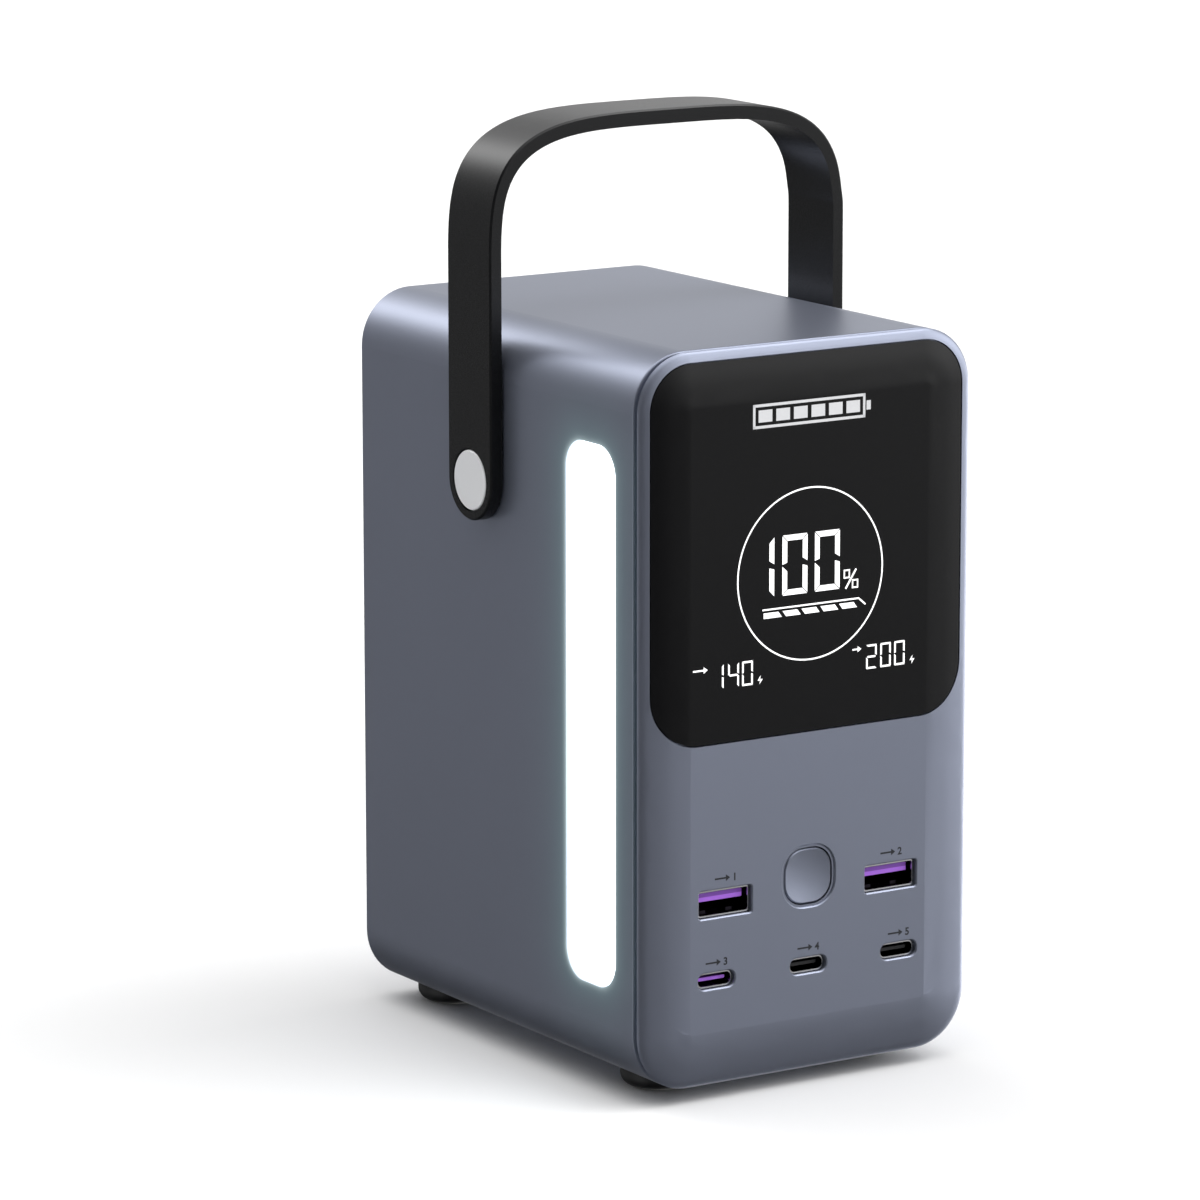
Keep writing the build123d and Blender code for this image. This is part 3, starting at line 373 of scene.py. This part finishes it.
def stroke(x1, z1, x2, z2, t):
    """Straight bar of width t between two points."""
    along = Vector((x2 - x1, z2 - z1)).normalized() * t / 2
    nx, nz = -along.y, along.x
    return [(x1 + nx, z1 + nz), (x2 + nx, z2 + nz), (x2 - nx, z2 - nz), (x1 - nx, z1 - nz)]


def arrow(x, z, w, h):
    """Plain arrow that points to +X."""
    mid = z + h / 2
    shaft = h * 0.13
    head = x + w - h * 0.72
    return [[(x, mid - shaft), (head, mid - shaft), (head, mid + shaft), (x, mid + shaft)],
            [(head, z), (x + w, mid), (head, z + h)]]


def bolt(x, z, w, h):
    """Lightning mark."""
    return [[(x + 0.62 * w, z + h), (x, z + 0.42 * h), (x + 0.45 * w, z + 0.42 * h)],
            [(x + 0.38 * w, z), (x + w, z + 0.58 * h), (x + 0.55 * w, z + 0.58 * h)],
            [(x + 0.45 * w, z + 0.42 * h), (x + 0.55 * w, z + 0.42 * h), (x + 0.55 * w, z + 0.58 * h),
             (x + 0.45 * w, z + 0.58 * h)]]


LENS_Y = front_plane("display_lens")
PANEL_Y = front_plane("front_panel")
ink_white = glowing("display_figures", (1.0, 1.0, 1.0), 1.15, (0.5, 0.5, 0.5), 0.4).material
ink_grey = glowing("display_icon_ink", (0.97, 0.98, 1.0), 0.43, (0.30, 0.30, 0.31), 0.5).material



def on_display(name, shapes, ink=ink_white):
    """Lit figures on the lens, which move with the housing."""
    flat_piece(name, shapes, LENS_Y, 0.02, ink, "housing")


figures = []
for digit, x, width in (("1", -14.05, 4.7), ("0", -7.25, 6.42), ("0", 1.10, 6.42)):
    figures += segments(x, 108.7, width, 13.0, 1.22, DIGITS[digit], 0.18)
on_display("display_charge_figures", figures)
percent = [stroke(9.1, 108.5, 11.8, 112.6, 0.42)]
for x, z in ((8.75, 110.9), (10.9, 108.6)):
    right, top, pen = x + 1.3, z + 1.6, 0.32
    percent += [stroke(x, z, right, z, pen), stroke(x, top, right, top, pen),
                stroke(x, z - pen / 2, x, top + pen / 2, pen),
                stroke(right, z - pen / 2, right, top + pen / 2, pen)]
on_display("display_percent_mark", percent)
on_display("display_ring", ring_quads(0, 112.8, 18.8, 0.34, 96))

# the level's bars lean to the right, under a line that bends down at its end
BAR_TOP, BAR_FOOT, BAR_LEAN, BAR_GAP = 105.4, 104.2, 0.9, 1.1
BAR_PITCH = 24.3 / 5
bars = [stroke(-12.3, 106.1, 12.5, 106.1, 0.34), stroke(12.45, 106.15, 14.3, 104.6, 0.34)]
for i in range(5):
    x = -12.0 + i * BAR_PITCH
    end = x + BAR_PITCH - BAR_GAP
    foot = x + (BAR_LEAN if i else 0)  # the first bar starts upright
    bars.append([(x, BAR_TOP), (end, BAR_TOP), (end + BAR_LEAN, BAR_FOOT), (foot, BAR_FOOT)])
on_display("display_level_bars", bars)

small = []
for digit, x in (("1", -24.9), ("4", -21.0), ("0", -17.45), ("2", 14.6), ("0", 18.3), ("0", 21.95)):
    small += segments(x, 90.3, 2.75, 5.3, 0.42, DIGITS[digit], 0.08)
on_display("display_power_figures", small)
marks = arrow(-29.9, 94.1, 3.7, 1.4) + arrow(11.0, 94.3, 2.3, 1.3)
marks += bolt(-13.5, 90.2, 1.3, 1.9) + bolt(26.0, 90.2, 1.3, 1.9)
on_display("display_power_marks", marks)

# battery pictogram: outline, terminal and six cells
icon = [stroke(-14.9, 145.5, 13.9, 145.5, 0.6), stroke(-14.9, 150.1, 13.9, 150.1, 0.6),
        stroke(-14.6, 145.2, -14.6, 150.4, 0.6), stroke(13.6, 145.2, 13.6, 150.4, 0.6),
        [(14.2, 146.8), (15.3, 146.8), (15.3, 148.8), (14.2, 148.8)]]
for i in range(6):
    x = -13.5 + i * 4.5
    icon.append([(x, 146.5), (x + 3.5, 146.5), (x + 3.5, 149.1), (x, 149.1)])
on_display("display_battery_icon", icon, ink_grey)

# numbers printed on the panel by the sockets, each with an arrow at its left: (x, z) in mm
print_ink = moulded("port_print", (0.012, 0.013, 0.018), 0.6, grain_mm=0.05, relief=0.1, vary=0.1).material
UPPER_ROW_Z, LOWER_ROW_Z = 48.3, 30.05
PORT_LABELS = {
    "1": (-21.4, UPPER_ROW_Z),
    "2": (21.6, UPPER_ROW_Z),
    "3": (-23.7, LOWER_ROW_Z),
    "4": (0.0, LOWER_ROW_Z),
    "5": (23.75, LOWER_ROW_Z),
}
NUMBER_HEIGHT = 1.65
CAP_HEIGHT = 0.72  # height of a figure in a font of size one


def number_piece(text, x, z):
    """A plain printed figure on the front panel."""
    curve = bpy.data.curves.new("port_number_" + text, "FONT")
    curve.body = text
    curve.size = NUMBER_HEIGHT * MM / CAP_HEIGHT
    curve.align_x = "CENTER"
    curve.extrude = 0.002 * MM
    curve.offset = 0.07 * MM
    maker = bpy.data.objects.new("maker", curve)
    bpy.context.scene.collection.objects.link(maker)
    bpy.context.view_layer.update()
    mesh = bpy.data.meshes.new_from_object(maker.evaluated_get(bpy.context.evaluated_depsgraph_get()))
    bpy.data.objects.remove(maker)
    obj = bpy.data.objects.new("port_number_" + text, mesh)
    bpy.context.scene.collection.objects.link(obj)
    mesh.materials.clear()
    mesh.materials.append(print_ink)
    for v in mesh.vertices:
        v.co = Vector((v.co.x + x * MM, PANEL_Y - v.co.z - 0.001 * MM, v.co.y + z * MM))
    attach(obj, "housing")


for text, (x, z) in PORT_LABELS.items():
    number_piece(text, x + 2.2, z)
arrows = []
for text, (x, z) in PORT_LABELS.items():
    arrows += arrow(x - 2.9, z + 0.05, 3.9, 1.5)
flat_piece("port_direction_marks", arrows, PANEL_Y, 0.003, print_ink, "housing")

# ---- floor, lights, camera -------------------------------------------------------------------
floor_mesh = bpy.data.meshes.new("floor")
bm = bmesh.new()
bmesh.ops.create_grid(bm, x_segments=2, y_segments=2, size=14)
bm.to_mesh(floor_mesh)
bm.free()
floor = bpy.data.objects.new("floor", floor_mesh)
bpy.context.scene.collection.objects.link(floor)
floor_look = Look("floor_look")
floor_tone = floor_look.mix(floor_look.noise(3.0), (0.885, 0.885, 0.885), (0.90, 0.90, 0.90))
floor_look.link(floor_tone, floor_look.shader.inputs["Base Color"])
floor_look.shader.inputs["Roughness"].default_value = 0.9
floor_look.shader.inputs["Specular IOR Level"].default_value = 0.1
floor_mesh.materials.append(floor_look.material)
floor.visible_glossy = False


# Soft lights all round the object: (angle from the rear towards the right, angle above level, strength)
BROAD_LIGHTS = [
    (60, -38, 1.20),
    (90, -12, 0.95),
    (270, -12, 0.91),
    (300, -12, 0.05),
    (330, -12, 0.19),
    (45, 14, 0.99),
    (105, 14, 2.74),
    (135, 14, 2.15),
    (345, 14, 0.25),
    (0, 38, 1.26),
    (144, 38, 1.45),
    (288, 38, 0.12),
    (324, 38, 0.52),
    (150, 62, 0.98),
    (210, 62, 0.88),
    (270, 62, 0.33),
    (330, 62, 1.48),
    (0, 90, 1.77),
]
# narrow ones, which pick out rounded edges
NARROW_LIGHTS = [
    (109, 54, 7.0),
    (80, -11, 4.0),
    (348, 31, 3.5),
]
# how fast a light fades away from its middle
BROAD_FOCUS, NARROW_FOCUS = 14, 60

world = bpy.data.worlds.new("studio")
bpy.context.scene.world = world
studio = Tree(world, "Generated")
total = 0.0
for lights, focus in ((BROAD_LIGHTS, BROAD_FOCUS), (NARROW_LIGHTS, NARROW_FOCUS)):
    for turn, rise, strength in lights:
        turn, rise = math.radians(turn), math.radians(rise)
        facing = studio.nodes.new("ShaderNodeVectorMath")
        facing.operation = "DOT_PRODUCT"
        facing.inputs[1].default_value = (
            math.sin(turn) * math.cos(rise), math.cos(turn) * math.cos(rise), math.sin(rise))
        studio.link(studio.coords, facing.inputs[0])
        spread = studio.math("MULTIPLY_ADD", facing.outputs["Value"], focus, -focus)
        total = studio.math("MULTIPLY_ADD", studio.math("EXPONENT", spread), strength, total)
background = studio.nodes["Background"]
studio.link(total, background.inputs["Strength"])
background.inputs["Color"].default_value = (1, 1, 1, 1)

# camera: place in metres, and how far it looks down, rolls and turns, in degrees
CAMERA_PLACE = (-0.7255, -1.11112, 0.3619)
CAMERA_DOWN, CAMERA_ROLL, CAMERA_TURN = 11.277, 0.054, -32.571
CAMERA_LENS = 183.68

camera_data = bpy.data.cameras.new("camera")
camera_data.lens = CAMERA_LENS
camera_data.sensor_width = 36.0
camera_data.clip_end = 100.0
camera = bpy.data.objects.new("camera", camera_data)
bpy.context.scene.collection.objects.link(camera)
camera.location = CAMERA_PLACE
camera.rotation_euler = (
    math.radians(90 - CAMERA_DOWN), math.radians(CAMERA_ROLL), math.radians(CAMERA_TURN))
bpy.context.scene.camera = camera
bpy.context.scene.view_settings.view_transform = "Standard"
